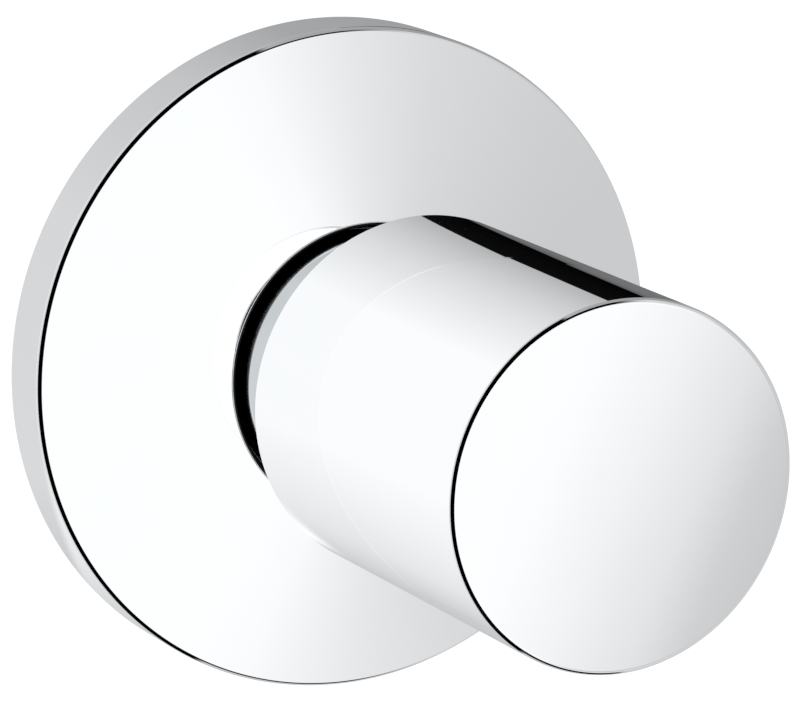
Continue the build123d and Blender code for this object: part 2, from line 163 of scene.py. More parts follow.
class Graph:
    """The node tree of one material or world."""

    def __init__(self, tree: bpy.types.NodeTree) -> None:
        """Empties the tree."""
        self.tree = tree
        tree.nodes.clear()

    def node(
        self,
        kind: str,
        settings: dict[str, Any] | None = None,
        inputs: Sockets | None = None,
    ) -> dict[str, Wire]:
        """Adds a node.

        Args:
            kind: Blender's name of the node type.
            settings: Properties of the node, and "stops" for a colour ramp.
            inputs: Values or wires by the socket's name or number.

        Returns:
            The node's output wires by name.
        """
        made = self.tree.nodes.new(kind)
        for name, value in (settings or {}).items():
            if name == "stops":
                self._stops(made.color_ramp, value)
            else:
                setattr(made, name, value)
        for key, value in (inputs or {}).items():
            if isinstance(value, Wire):
                self.tree.links.new(value.socket, made.inputs[key])
            else:
                made.inputs[key].default_value = value
        return {socket.name: Wire(self, socket) for socket in made.outputs if socket.enabled}

    @staticmethod
    def _stops(ramp: bpy.types.ColorRamp, stops: Sequence[tuple[float, float]]) -> None:
        """Sets a grey colour ramp.

        Args:
            ramp: The ramp of a new node, with its two first stops.
            stops: Places along the ramp and their grey values.
        """
        while len(ramp.elements) < len(stops):
            ramp.elements.new(1.0)
        for element, (place, value) in zip(ramp.elements, stops):
            element.position = place
            element.color = (value, value, value, 1.0)

    def maths(self, op: Op, *values: Number) -> Wire:
        """One Math node on numbers or wires."""
        return self.node("ShaderNodeMath", {"operation": op.value}, dict(enumerate(values)))["Value"]

    def object_place(self) -> Wire:
        """Object coordinates of the surface."""
        return self.node("ShaderNodeTexCoord")["Object"]

    def parts(self, vector: Wire) -> Direction:
        """The three components of a vector wire."""
        split = self.node("ShaderNodeSeparateXYZ", None, {"Vector": vector})
        return split["X"], split["Y"], split["Z"]

    def noise(self, place: Wire, scale: float, detail: float) -> Wire:
        """Noise of a scale, between 0 and 1."""
        inputs = {"Vector": place, "Scale": scale, "Detail": detail}
        return self.node("ShaderNodeTexNoise", None, inputs)["Fac"]

    def bump(self, height: Wire, strength: float, distance: float, invert: bool = False) -> Wire:
        """The surface normal, raised or sunk by a height."""
        inputs = {"Height": height, "Strength": strength, "Distance": distance}
        return self.node("ShaderNodeBump", {"invert": invert}, inputs)["Normal"]

    def seen_directly(self) -> Wire:
        """1 for rays from the camera or through glass, and 0 for the others."""
        path = self.node("ShaderNodeLightPath")
        return path["Is Camera Ray"].larger(path["Is Transmission Ray"])

    def blend(self, share: Number, first: Any, second: Any) -> Wire:
        """Mixes two colours.

        Args:
            share: Part of the second colour, from 0 to 1.
            first: Colour or wire.
            second: Colour or wire.

        Returns:
            The mixed colour.
        """
        inputs = {MIX_SHARE: share, MIX_FIRST: first, MIX_SECOND: second}
        return self.node("ShaderNodeMix", {"data_type": "RGBA"}, inputs)["Result"]


def rgb(red: float, green: float, blue: float) -> tuple[float, float, float, float]:
    """A colour with full alpha."""
    return (red, green, blue, 1.0)


def screen(value: float) -> float:
    """Scene brightness that shows as a screen value of 0 to 255 on a standard display."""
    share = value / 255.0
    return share / 12.92 if share <= 0.04045 else ((share + 0.055) / 1.055) ** 2.4


@dataclass(frozen=True)
class Finish:
    """What every finish has: a name, its slot and a way to make its material."""

    name: str
    slot: Slot

    def material(self) -> bpy.types.Material:
        """The finish's material, made at its first use.

        Returns:
            The material.
        """
        found = bpy.data.materials.get(self.name)
        if found is not None:
            return found
        made = bpy.data.materials.new(self.name)
        made.use_nodes = True
        graph = Graph(made.node_tree)
        shader = graph.node("ShaderNodeBsdfPrincipled", None, self.sockets(graph))
        graph.node("ShaderNodeOutputMaterial", None, {"Surface": shader["BSDF"]})
        return made

    def sockets(self, graph: Graph) -> Sockets:
        """Values and wires for the surface shader, which each finish gives."""
        raise NotImplementedError


@dataclass(frozen=True)
class PolishedChrome(Finish):
    """Mirror-bright plating with the faint haze that wiping leaves."""

    colour: Triple = (0.988, 0.989, 0.990)
    haze_colour: Triple = (0.978, 0.980, 0.981)
    roughness: float = 0.012
    haze: float = 0.022
    haze_scale: float = 70.0
    haze_detail: float = 4.0
    haze_edge: Span = (0.42, 0.78)

    def sockets(self, graph: Graph) -> Sockets:
        """Bright plating, a little rougher and duller under the haze.

        Args:
            graph: The material's graph.

        Returns:
            Values and wires for the surface shader.
        """
        haze = graph.noise(graph.object_place(), self.haze_scale, self.haze_detail).step(*self.haze_edge)
        return {
            "Base Color": graph.blend(haze, rgb(*self.colour), rgb(*self.haze_colour)),
            "Metallic": 1.0,
            "Roughness": self.roughness + haze * self.haze,
        }


@dataclass(frozen=True)
class NeckChromePaintedShade(PolishedChrome):
    """Plating of the neck, a darker copy of the handle's chrome as painted shade, with painted black shade at
    the foot that stands in the gap of the escutcheon.
    """

    # Painted shade: the neck's plating is set darker than the handle's chrome, which gives the neck its grey
    # stripe.
    colour: Triple = (0.60, 0.62, 0.63)
    haze_colour: Triple = (0.56, 0.58, 0.59)
    # Painted shade: black for the foot, where the plating stands in the dark gap and mirrors its shade.
    foot_painted_shade: Triple = (0.012, 0.012, 0.013)
    foot: float = 0.0157
    fade: float = 0.0002

    def sockets(self, graph: Graph) -> Sockets:
        """The plating, with painted black shade from the foot back along the axis.

        Args:
            graph: The material's graph.

        Returns:
            Values and wires for the surface shader.
        """
        sockets = super().sockets(graph)
        y = graph.parts(graph.object_place())[1]
        # From the foot back, the base colour is painted black shade in place of the gap's dark mirror image.
        bright = y.step(self.fade - self.foot, -self.fade - self.foot)
        return sockets | {"Base Color": graph.blend(bright, rgb(*self.foot_painted_shade), sockets["Base Color"])}


@dataclass(frozen=True)
class TurnedMetal(Finish):
    """Bare metal with the fine rings that a lathe leaves round the valve axis."""

    bright: Triple = (0.83, 0.62, 0.30)
    dull: Triple = (0.60, 0.40, 0.16)
    roughness: float = 0.2
    spread: float = 0.16
    ring_pitch: float = 0.00022
    ring_depth: float = 0.12
    ring_height: float = 0.00001
    ring_share: float = 0.4
    waver: float = 9.0
    waver_scale: float = 900.0
    waver_detail: float = 2.0
    tarnish_scale: float = 160.0
    tarnish_detail: float = 5.0
    tarnish_edge: Span = (0.45, 0.75)

    def sockets(self, graph: Graph) -> Sockets:
        """Bright metal with wavering rings and patches of tarnish.

        Args:
            graph: The material's graph.

        Returns:
            Values and wires for the surface shader.
        """
        place = graph.object_place()
        x, y, z = graph.parts(place)
        radius = graph.maths(Op.SQRT, x * x + z * z)
        waver = graph.noise(place, self.waver_scale, self.waver_detail) * self.waver
        rings = graph.maths(Op.SINE, (y + radius) * (FULL_TURN / self.ring_pitch) + waver) * 0.5 + 0.5
        tarnish = graph.noise(place, self.tarnish_scale, self.tarnish_detail).step(*self.tarnish_edge)
        return {
            "Base Color": graph.blend(tarnish, rgb(*self.bright), rgb(*self.dull)),
            "Metallic": 1.0,
            "Roughness": self.roughness + rings * (self.spread * self.ring_share) + tarnish * self.spread,
            "Normal": graph.bump(rings, self.ring_depth, self.ring_height),
        }


@dataclass(frozen=True)
class Moulded(Finish):
    """A moulded or pressed material with a fine skin."""

    colour: Triple = (0.02, 0.02, 0.021)
    worn: Triple = (0.045, 0.045, 0.047)
    roughness: float = 0.55
    spread: float = 0.15
    patch_scale: float = 140.0
    patch_detail: float = 4.0
    patch_edge: Span = (0.4, 0.75)
    grain_scale: float = 2600.0
    grain_detail: float = 2.0
    grain_depth: float = 0.1
    grain_height: float = 0.00005

    def sockets(self, graph: Graph) -> Sockets:
        """A grained skin with worn patches.

        Args:
            graph: The material's graph.

        Returns:
            Values and wires for the surface shader.
        """
        place = graph.object_place()
        patches = graph.noise(place, self.patch_scale, self.patch_detail).step(*self.patch_edge)
        grain = graph.noise(place, self.grain_scale, self.grain_detail)
        return {
            "Base Color": graph.blend(patches, rgb(*self.colour), rgb(*self.worn)),
            "Roughness": self.roughness + patches * self.spread,
            "Normal": graph.bump(grain, self.grain_depth, self.grain_height),
        }


@dataclass(frozen=True)
class Foam(Finish):
    """Closed-cell foam with open pores on its cut faces."""

    colour: Triple = (0.30, 0.30, 0.31)
    # Painted shade: the pores are darkened where shade falls into the sunk cells, and the foam itself is one
    # grey.
    pore_painted_shade: Triple = (0.12, 0.12, 0.125)
    pore_size: float = 0.00045
    pore_edge: Span = (0.5, 0.18)
    pore_depth: float = 0.5
    pore_height: float = 0.0001
    roughness: float = 0.9

    def sockets(self, graph: Graph) -> Sockets:
        """Dull foam with sunk pores, darkened there with painted shade.

        Args:
            graph: The material's graph.

        Returns:
            Values and wires for the surface shader.
        """
        inputs = {"Vector": graph.object_place(), "Scale": 1.0 / self.pore_size, "Randomness": 1.0}
        cells = graph.node("ShaderNodeTexVoronoi", {"feature": "F1"}, inputs)["Distance"]
        pores = cells.step(*self.pore_edge)
        # The base colour is darker in the pores: painted shade.
        return {
            "Base Color": graph.blend(pores, rgb(*self.colour), rgb(*self.pore_painted_shade)),
            "Roughness": self.roughness,
            "Normal": graph.bump(pores, self.pore_depth, self.pore_height, invert=True),
        }


CHROME = PolishedChrome("polished_chrome", Slot.CHROME)
# Neck plating with painted shade: darker than CHROME, and black at the foot.
NECK_CHROME_PAINTED_SHADE = NeckChromePaintedShade("neck_chrome_painted_shade", Slot.CHROME)
BRASS = TurnedMetal("turned_brass", Slot.BRASS)
RUBBER = Moulded("black_seal_rubber", Slot.RUBBER)
FOAM = Foam("grey_seal_foam", Slot.FOAM)
ACETAL = Moulded(
    "white_bearing_plastic",
    Slot.ACETAL,
    colour=(0.80, 0.80, 0.77),
    worn=(0.70, 0.70, 0.67),
    roughness=0.32,
    spread=0.12,
    grain_depth=0.05,
)
PLASTIC = Moulded(
    "grey_insert_plastic",
    Slot.PLASTIC,
    colour=(0.20, 0.205, 0.21),
    worn=(0.27, 0.275, 0.28),
    roughness=0.42,
    spread=0.14,
)
STEEL = TurnedMetal(
    "bright_screw_steel",
    Slot.STEEL,
    bright=(0.68, 0.68, 0.67),
    dull=(0.52, 0.52, 0.51),
    roughness=0.18,
    spread=0.14,
)


@dataclass(frozen=True)
class Corner:
    """A corner of a turned section, in millimetres.

    Attributes:
        radius: Distance from the valve axis.
        front: Distance in front of the wall.
        round: Radius of its rounding, or 0 for a sharp corner.
        steps: Faces across the rounding. They stay crisp if there are only a few.
    """

    radius: float
    front: float
    round: float = 0.0
    steps: int = 8


@dataclass(frozen=True)
class Thread:
    """A screw thread on a turned core, in millimetres.

    Attributes:
        crest: Outer radius of the thread.
        root: Radius of the core that carries it.
        pitch: Distance from turn to turn.
        back: Distance in front of the wall at which it starts.
        front: Distance in front of the wall at which it ends.
        foot: Half the width of the ridge's foot, as a share of the pitch.
        tip: Half the width of its crest, as a share of the pitch.
        sink: How far the ridge's foot lies inside the core.
        steps: Faces round each turn.
    """

    crest: float
    root: float
    pitch: float
    back: float
    front: float
    foot: float = 0.47
    tip: float = 0.07
    sink: float = 0.08
    steps: int = 96


def spin(
    bm: bmesh.types.BMesh,
    geom: Sequence[Any],
    angle: float,
    steps: int,
    rise: float = 0.0,
    merge: bool = False,
    copies: bool = False,
) -> None:
    """Turns geometry about the valve axis.

    Args:
        bm: The mesh that holds the geometry.
        geom: What is turned.
        angle: Angle of the turn.
        steps: Steps of the turn.
        rise: Way along the axis at each step, in metres.
        merge: Whether the end of a full turn joins its start.
        copies: Whether each step leaves a copy, with no faces between them.
    """
    bmesh.ops.spin(
        bm,
        geom=geom,
        cent=ORIGIN,
        axis=AXIS,
        dvec=AXIS * rise,
        angle=angle,
        steps=steps,
        use_merge=merge,
        use_normal_flip=False,
        use_duplicate=copies,
    )


class Shape:
    """A mesh in the making, in metres, with the valve axis along Y."""

    def __init__(self) -> None:
        """Starts an empty mesh."""
        self.mesh = bmesh.new()

    def turned(self, corners: Sequence[Corner], closed: bool = True, steps: int = 256) -> "Shape":
        """Turns a section about the valve axis.

        Args:
            corners: The section, in order.
            closed: Whether its last corner joins its first.
            steps: Faces round the axis.

        Returns:
            The shape itself.
        """
        bm = self.mesh
        dots = [bm.verts.new((c.radius * MM, -c.front * MM, 0.0)) for c in corners]
        pairs = list(zip(dots, dots[1:])) + ([(dots[-1], dots[0])] if closed else [])
        for pair in pairs:
            bm.edges.new(pair)
        for dot, corner in zip(dots, corners):
            if corner.round:
                self._round(dot, corner.round * MM, corner.steps)
        spin(bm, bm.verts[:] + bm.edges[:], FULL_TURN, steps, merge=True)
        bmesh.ops.remove_doubles(bm, verts=bm.verts[:], dist=WELD)
        bmesh.ops.dissolve_degenerate(bm, edges=bm.edges[:], dist=WELD)
        bmesh.ops.recalc_face_normals(bm, faces=bm.faces[:])
        return self

    def _round(self, dot: bmesh.types.BMVert, radius: float, steps: int) -> None:
        """Rounds a corner of a section.

        Args:
            dot: The corner, with its two edges.
            radius: Radius of the rounding, in metres.
            steps: Edges of the rounding.
        """
        first, second = (edge.other_vert(dot).co - dot.co for edge in dot.link_edges)
        turn = math.pi - first.angle(second)
        bmesh.ops.bevel(
            self.mesh,
            geom=[dot],
            offset=radius * math.tan(turn / 2.0),
            offset_type="OFFSET",
            affect="VERTICES",
            segments=steps,
            profile=0.5,
            material=-1,
        )

    def cut(self, point: Sequence[float], outwards: Sequence[float]) -> "Shape":
        """Cuts away what lies beyond a plane and closes the cut.

        Args:
            point: A point of the plane, in millimetres.
            outwards: Direction of the part that goes.

        Returns:
            The shape itself.
        """
        bm = self.mesh
        done = bmesh.ops.bisect_plane(
            bm,
            geom=bm.verts[:] + bm.edges[:] + bm.faces[:],
            dist=WELD,
            plane_co=Vector(point) * MM,
            plane_no=Vector(outwards),
            clear_outer=True,
        )
        open_edges = [g for g in done["geom_cut"] if isinstance(g, bmesh.types.BMEdge) and g.is_boundary]
        bmesh.ops.holes_fill(bm, edges=open_edges, sides=0)
        bmesh.ops.recalc_face_normals(bm, faces=bm.faces[:])
        return self

    def take(self, other: "Shape", turned: Iterable[float] = (0.0,)) -> "Shape":
        """Takes in copies of another shape.

        Args:
            other: The shape to take in. It is used up.
            turned: Angle about the valve axis of each copy, in degrees.

        Returns:
            The shape itself.
        """
        for angle in turned:
            spare = bpy.data.meshes.new("spare")
            other.mesh.to_mesh(spare)
            spare.transform(Matrix.Rotation(math.radians(angle), 4, AXIS))
            self.mesh.from_mesh(spare)
            bpy.data.meshes.remove(spare)
        other.mesh.free()
        return self

    def box(self, low: Sequence[float], high: Sequence[float]) -> "Shape":
        """Adds a box between two corners.

        Args:
            low: The lowest corner, in millimetres.
            high: The highest corner.

        Returns:
            The shape itself.
        """
        near, far = Vector(low) * MM, Vector(high) * MM
        place = Matrix.Translation((near + far) / 2.0) @ Matrix.Diagonal((*(far - near), 1.0))
        bmesh.ops.create_cube(self.mesh, size=1.0, matrix=place)
        return self

    def thread(self, thread: Thread) -> "Shape":
        """Adds a screw thread with bevelled ends as a ridge on a turned core.

        Args:
            thread: The thread's sizes.

        Returns:
            The shape itself.
        """
        ridge = Shape()
        bm = ridge.mesh
        root = thread.root
        inside = root - thread.sink
        foot = thread.pitch * thread.foot
        tip = thread.pitch * thread.tip
        start = thread.back + foot
        turns = (thread.front - thread.back - 2.0 * foot) / thread.pitch
        steps = round(turns * thread.steps)
        lower = ((inside, -foot), (root, -foot), (thread.crest, -tip))
        upper = ((thread.crest, tip), (root, foot), (inside, foot))
        dots = [bm.verts.new((r * MM, -(start + shift) * MM, 0.0)) for r, shift in lower + upper]
        bm.faces.new(dots)
        section = bm.faces[:] + bm.edges[:] + bm.verts[:]
        spin(bm, section, turns * FULL_TURN, steps, rise=-turns * thread.pitch * MM / steps)
        for dot in bm.verts:
            place = -dot.co.y / MM
            radius = math.hypot(dot.co.x, dot.co.z) / MM
            limit = max(inside, root + min(place - thread.back, thread.front - place) - foot / 2.0)
            if radius > limit:
                dot.co = Vector((dot.co.x * limit / radius, dot.co.y, dot.co.z * limit / radius))
        bmesh.ops.remove_doubles(bm, verts=bm.verts[:], dist=WELD)
        bmesh.ops.recalc_face_normals(bm, faces=bm.faces[:])
        return self.take(ridge)

    def piece(self, name: str, finish: Finish, body: Body, replaced: str) -> bpy.types.Object:
        """Makes the shape an object of the part.

        Args:
            name: Name of the piece.
            finish: Its finish.
            body: The body that it rides on.
            replaced: The node that it stands for.

        Returns:
            The object.
        """
        for face in self.mesh.faces:
            face.smooth = True
        for edge in self.mesh.edges:
            if len(edge.link_faces) == 2 and edge.calc_face_angle() > CRISP_ANGLE:
                edge.smooth = False
        mesh = bpy.data.meshes.new(name)
        self.mesh.to_mesh(mesh)
        self.mesh.free()
        made = bpy.data.objects.new(name, mesh)
        bpy.context.scene.collection.objects.link(made)
        mesh.materials.append(finish.material())
        weighted = made.modifiers.new("even_shading", "WEIGHTED_NORMAL")
        weighted.keep_sharp = True
        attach(made, body.value)
        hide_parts(replaced)
        LOG.info("%s: %d faces, %s", name, len(mesh.polygons), finish.name)
        return made


@dataclass
class HandleCup:
    """The cast handle: a plain cylinder, open behind, with a ribbed socket boss inside."""

    radius: float = 21.0
    back: float = 26.4
    inner_back: float = 25.596
    front: float = 76.0
    front_round: float = 0.6
    front_facets: int = 4
    back_round: float = 0.4
    lip_round: float = 0.2
    bore: float = 18.0
    floor: float = 72.5
    floor_round: float = 0.5
    boss_radius: float = 10.65
    boss_back: float = 44.0
    boss_round: float = 0.3
    socket: float = 7.35
    socket_steps: int = 10
    rib_back: float = 58.5
    rib_half: float = 0.8
    rib_count: int = 6
    key_half: float = 1.1
    key_reach: float = 8.35
    key_margin: float = 0.5

    def build(self) -> bpy.types.Object:
        """Makes the handle's mesh and dresses it.

        Returns:
            The handle.
        """
        cup = Shape().turned(
            (
                Corner(0.0, self.front),
                Corner(self.radius, self.front, self.front_round, self.front_facets),
                Corner(self.radius, self.back, self.back_round),
                Corner(self.bore, self.inner_back, self.lip_round),
                Corner(self.bore, self.floor, self.floor_round),
                Corner(self.boss_radius, self.floor, self.floor_round),
                Corner(self.boss_radius, self.boss_back, self.boss_round),
                Corner(self.key_reach + self.key_margin, self.boss_back),
            ),
            closed=False,
        )
        self._socket(cup)
        rib = Shape().box(
            (self.boss_radius - self.rib_half, -self.floor - self.rib_half, -self.rib_half),
            (self.bore + self.rib_half, -self.rib_back, self.rib_half),
        )
        cup.take(rib, [360.0 / self.rib_count * n for n in range(self.rib_count)])
        return cup.piece("handle_cup", CHROME, Body.TURNING, "handle")

    def _socket(self, cup: Shape) -> None:
        """Closes the boss with its keyed socket.

        Args:
            cup: The turned cup, open at the boss's end.
        """
        bm = cup.mesh
        mouth = {edge for edge in bm.edges if edge.is_boundary}
        share = FULL_TURN / self.rib_count
        half = math.asin(self.key_half / self.socket)
        start = Vector((self.socket * math.cos(half), -self.boss_back, -self.socket * math.sin(half))) * MM
        outer = Vector((self.key_reach, -self.boss_back, -self.key_half)) * MM
        mirrored = Vector((1.0, 1.0, -1.0))
        key = [bm.verts.new(place) for place in (start * mirrored, outer * mirrored, outer, start)]
        for pair in zip(key, key[1:]):
            bm.edges.new(pair)
        spin(bm, [key[-1]], share - 2.0 * half, self.socket_steps)
        sector = [edge for edge in bm.edges if not edge.link_faces and edge not in mouth]
        dots = list({dot for edge in sector for dot in edge.verts})
        spin(bm, dots + sector, FULL_TURN - share, self.rib_count - 1, copies=True)
        loose = list({dot for edge in bm.edges if not edge.link_faces for dot in edge.verts})
        bmesh.ops.remove_doubles(bm, verts=loose, dist=LOOSE_WELD)
        outline = [edge for edge in bm.edges if not edge.link_faces]
        walls = bmesh.ops.extrude_edge_only(bm, edges=outline)["geom"]
        floor_dots = [item for item in walls if isinstance(item, bmesh.types.BMVert)]
        bmesh.ops.translate(bm, verts=floor_dots, vec=Vector((0.0, self.boss_back - self.floor, 0.0)) * MM)
        floor_edges = [e for e in walls if isinstance(e, bmesh.types.BMEdge) and e.is_boundary]
        bmesh.ops.edgeloop_fill(bm, edges=floor_edges)
        bmesh.ops.bridge_loops(bm, edges=[edge for edge in bm.edges if edge.is_boundary])
        bmesh.ops.recalc_face_normals(bm, faces=bm.faces[:])


@dataclass
class WallTrim:
    """The escutcheon on the wall, with the foam ring that seals it."""

    radius: float = 40.0
    rim: float = 8.0
    height: float = 13.7
    wall: float = 1.2
    back_round: float = 0.12
    rim_round: float = 0.8
    rim_facets: int = 3
    lip_round: float = 0.55
    lip: float = 17.2
    collar_back: float = 7.5
    collar_round: float = 0.2
    inner_rim: float = 7.063
    inner_lip: float = 12.163
    inner_round: float = 0.6
    steps: int = 320
    seal_width: float = 3.6
    seal_depth: float = 3.5
    seal_back_round: float = 0.35
    seal_front_round: float = 0.5
    seal_steps: int = 192

    def build(self) -> list[bpy.types.Object]:
        """Makes the escutcheon and its seal and dresses them.

        Returns:
            The two pieces.
        """
        inside = self.radius - self.wall
        seal_inside = inside - self.seal_width
        shell = Shape().turned(
            (
                Corner(self.radius, 0.0, self.back_round),
                Corner(self.radius, self.rim, self.rim_round, self.rim_facets),
                Corner(self.lip, self.height, self.lip_round),
                Corner(self.lip, self.collar_back, self.collar_round),
                Corner(self.lip + self.wall, self.collar_back, self.collar_round),
                Corner(self.lip + self.wall, self.inner_lip, self.inner_round),
                Corner(inside, self.inner_rim, self.inner_round),
                Corner(inside, 0.0, self.back_round),
            ),
            steps=self.steps,
        )
        foam = Shape().turned(
            (
                Corner(inside, 0.0, self.seal_back_round),
                Corner(inside, self.seal_depth, self.seal_front_round),
                Corner(seal_inside, self.seal_depth, self.seal_front_round),
                Corner(seal_inside, 0.0, self.seal_back_round),
            ),
            steps=self.seal_steps,
        )
        return [
            shell.piece("escutcheon_shell", CHROME, Body.WALL, "escutcheon"),
            foam.piece("foam_wall_seal", FOAM, Body.WALL, "wall_seal"),
        ]


@dataclass
class NeckSleeve:
    """The chromed neck between the escutcheon and the handle."""

    radius: float = 16.7
    bore: float = 14.0
    back: float = -6.0
    front: float = 34.9
    front_round: float = 0.6
    edge_round: float = 0.3
    thread: float = 10.0
    seat: float = 4.0
    seat_round: float = 0.4
    grip_floor: float = 15.25
    grip_back: float = 8.517
    grip_front: float = 10.617
    glide_floor: float = 15.5
    glide_back: float = 30.7
    glide_front: float = 33.7
    groove_round: float = 0.15
    notch_depth: float = 2.0
    notch_half: float = 2.0
    sink: float = 0.05

    def build(self) -> bpy.types.Object:
        """Makes the sleeve and dresses it.

        Returns:
            The sleeve.
        """
        step = self.back + self.notch_depth
        neck = Shape().turned(
            (
                Corner(self.thread, self.back, self.edge_round),
                Corner(self.bore, self.back),
                Corner(self.bore, step),
                Corner(self.radius, step),
                Corner(self.radius, self.grip_back, self.groove_round),
                Corner(self.grip_floor, self.grip_back),
                Corner(self.grip_floor, self.grip_front),
                Corner(self.radius, self.grip_front, self.groove_round),
                Corner(self.radius, self.glide_back, self.groove_round),
                Corner(self.glide_floor, self.glide_back),
                Corner(self.glide_floor, self.glide_front),
                Corner(self.radius, self.glide_front, self.groove_round),
                Corner(self.radius, self.front, self.front_round),
                Corner(self.bore, self.front, self.edge_round),
                Corner(self.bore, self.seat, self.seat_round),
                Corner(self.thread, self.seat, self.edge_round),
            ),
        )
        cheek = Shape().turned(
            (
                Corner(self.bore - self.sink, self.back),
                Corner(self.radius, self.back, self.edge_round),
                Corner(self.radius, step + self.sink),
                Corner(self.bore - self.sink, step + self.sink),
            ),
        )
        cheek.cut((0.0, 0.0, self.notch_half), (0.0, 0.0, -1.0))
        neck.take(cheek, (0.0, 180.0))
        return neck.piece("neck_sleeve", NECK_CHROME_PAINTED_SHADE, Body.WALL, "sleeve")


@dataclass
class HeadPart:
    """The brass head part that screws into the valve in the wall."""

    flange_radius: float = 13.1775
    flange_face: float = -24.0
    flange_round: float = 0.25
    hex_back: float = -22.4
    hex_front: float = -16.0
    hex_flat: float = 11.0
    hex_bevel: float = 0.3
    hex_slope: float = 30.0
    hex_sides: int = 6
    barrel: float = 9.4
    front: float = 4.5
    front_round: float = 0.4
    stem_bore: float = 5.5
    stem_round: float = 0.3
    chamber: float = 6.95
    chamber_round: float = 0.15
    skirt: float = 9.3155
    skirt_back: float = -46.1
    skirt_round: float = 0.4
    root_round: float = 0.2
    slot_front: float = -37.3
    slot_half: float = 2.3
    thread_crest: float = 10.4775
    thread_pitch: float = 1.814
    thread_back: float = -37.0
    thread_front: float = -26.0
    sleeve_crest: float = 10.0
    sleeve_pitch: float = 1.0
    sleeve_back: float = -8.5
    sink: float = 0.05
    steps: int = 192

    def build(self) -> bpy.types.Object:
        """Makes the head body and dresses it.

        Returns:
            The head body.
        """
        core = Shape().turned(
            (
                Corner(self.chamber, self.slot_front),
                Corner(self.skirt, self.slot_front),
                Corner(self.skirt, self.flange_face, self.root_round),
                Corner(self.flange_radius, self.flange_face, self.flange_round),
                Corner(self.flange_radius, self.hex_back, self.flange_round),
                Corner(self.barrel, self.hex_back),
                Corner(self.barrel, self.front, self.front_round),
                Corner(self.stem_bore, self.front, self.stem_round),
                Corner(self.stem_bore, self.hex_front),
                Corner(self.chamber, self.hex_front),
            ),
            steps=self.steps,
        )
        core.take(self._hexagon())
        skirt = Shape().turned(
            (
                Corner(self.chamber, self.skirt_back, self.chamber_round),
                Corner(self.skirt, self.skirt_back, self.skirt_round),
                Corner(self.skirt, self.slot_front + self.sink),
                Corner(self.chamber, self.slot_front + self.sink),
            ),
            steps=self.steps,
        )
        skirt.cut((0.0, 0.0, self.slot_half), (0.0, 0.0, -1.0))
        core.take(skirt, (0.0, 180.0))
        wall = Thread(self.thread_crest, self.skirt, self.thread_pitch, self.thread_back, self.thread_front)
        sleeve = Thread(self.sleeve_crest, self.barrel, self.sleeve_pitch, self.sleeve_back, self.front)
        core.thread(wall)
        core.thread(sleeve)
        return core.piece("head_part_body", BRASS, Body.WALL, "head_body")

    def _hexagon(self) -> Shape:
        """The spanner hexagon, cut from a bevelled round.

        Returns:
            The hexagon.
        """
        corner = self.hex_flat / math.cos(math.pi / self.hex_sides)
        top = self.hex_flat - self.hex_bevel
        bevel = (corner - self.hex_flat + self.hex_bevel) * math.tan(math.radians(self.hex_slope))
        block = Shape().turned(
            (
                Corner(self.barrel - self.sink, self.hex_back),
                Corner(corner, self.hex_back),
                Corner(corner, self.hex_front - bevel),
                Corner(top, self.hex_front),
                Corner(self.barrel - self.sink, self.hex_front),
            ),
            steps=self.steps,
        )
        for side in range(self.hex_sides):
            angle = math.radians(360.0 / self.hex_sides * side + 90.0)
            outwards = (math.cos(angle), 0.0, math.sin(angle))
            block.cut([self.hex_flat * part for part in outwards], outwards)
        return block


@dataclass
class SeatStack:
    """The rubber seat washer and the brass washer that backs it."""

    hole: float = 2.2
    washer_radius: float = 6.65
    washer_front: float = -45.6
    washer_back: float = -49.1
    washer_hole_round: float = 0.2
    washer_back_round: float = 0.45
    washer_front_round: float = 0.3
    backing_radius: float = 4.5
    backing_back: float = -49.9
    backing_back_round: float = 0.2
    backing_front_round: float = 0.1
    steps: int = 128

    def build(self) -> list[bpy.types.Object]:
        """Makes the two washers and dresses them.

        Returns:
            The two pieces.
        """
        rubber = Shape().turned(
            (
                Corner(self.hole, self.washer_back, self.washer_hole_round),
                Corner(self.washer_radius, self.washer_back, self.washer_back_round),
                Corner(self.washer_radius, self.washer_front, self.washer_front_round),
                Corner(self.hole, self.washer_front),
            ),
            steps=self.steps,
        )
        brass = Shape().turned(
            (
                Corner(self.hole, self.backing_back),
                Corner(self.backing_radius, self.backing_back, self.backing_back_round),
                Corner(self.backing_radius, self.washer_back, self.backing_front_round),
                Corner(self.hole, self.washer_back),
            ),
            steps=self.steps,
        )
        return [
            rubber.piece("rubber_seat_washer", RUBBER, Body.PISTON, "seat_washer"),
            brass.piece("brass_backing_washer", BRASS, Body.PISTON, "backing_washer"),
        ]


@dataclass
class InnerWorks:
    """The pieces whose solids are right as they are and only need their finish."""

    finishes: dict[str, Finish] = field(
        default_factory=lambda: {
            "snap_insert": PLASTIC,
            "handle_screw": STEEL,
            "spindle_extension": BRASS,
            "spindle": BRASS,
            "retaining_clip": STEEL,
            "piston": BRASS,
            "seat_screw": BRASS,
            "glide_ring": ACETAL,
            "glide_washer": ACETAL,
            "grip_ring": RUBBER,
            "head_seal": RUBBER,
            "piston_ring": RUBBER,
            "spindle_ring_front": RUBBER,
            "spindle_ring_rear": RUBBER,
        }
    )

    def dress(self) -> None:
        """Gives each node its finish and smooth shading."""
        for name, finish in self.finishes.items():
            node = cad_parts[name]
            node.data.materials.clear()
            node.data.materials.append(finish.material())
            for face in node.data.polygons:
                face.use_smooth = True
            weld = node.modifiers.new("joined", "WELD")
            weld.merge_threshold = LOOSE_WELD
            split = node.modifiers.new("crisp_edges", "EDGE_SPLIT")
            split.split_angle = SHARP_ANGLE
            LOG.info("%s: solid kept, %s", name, finish.name)


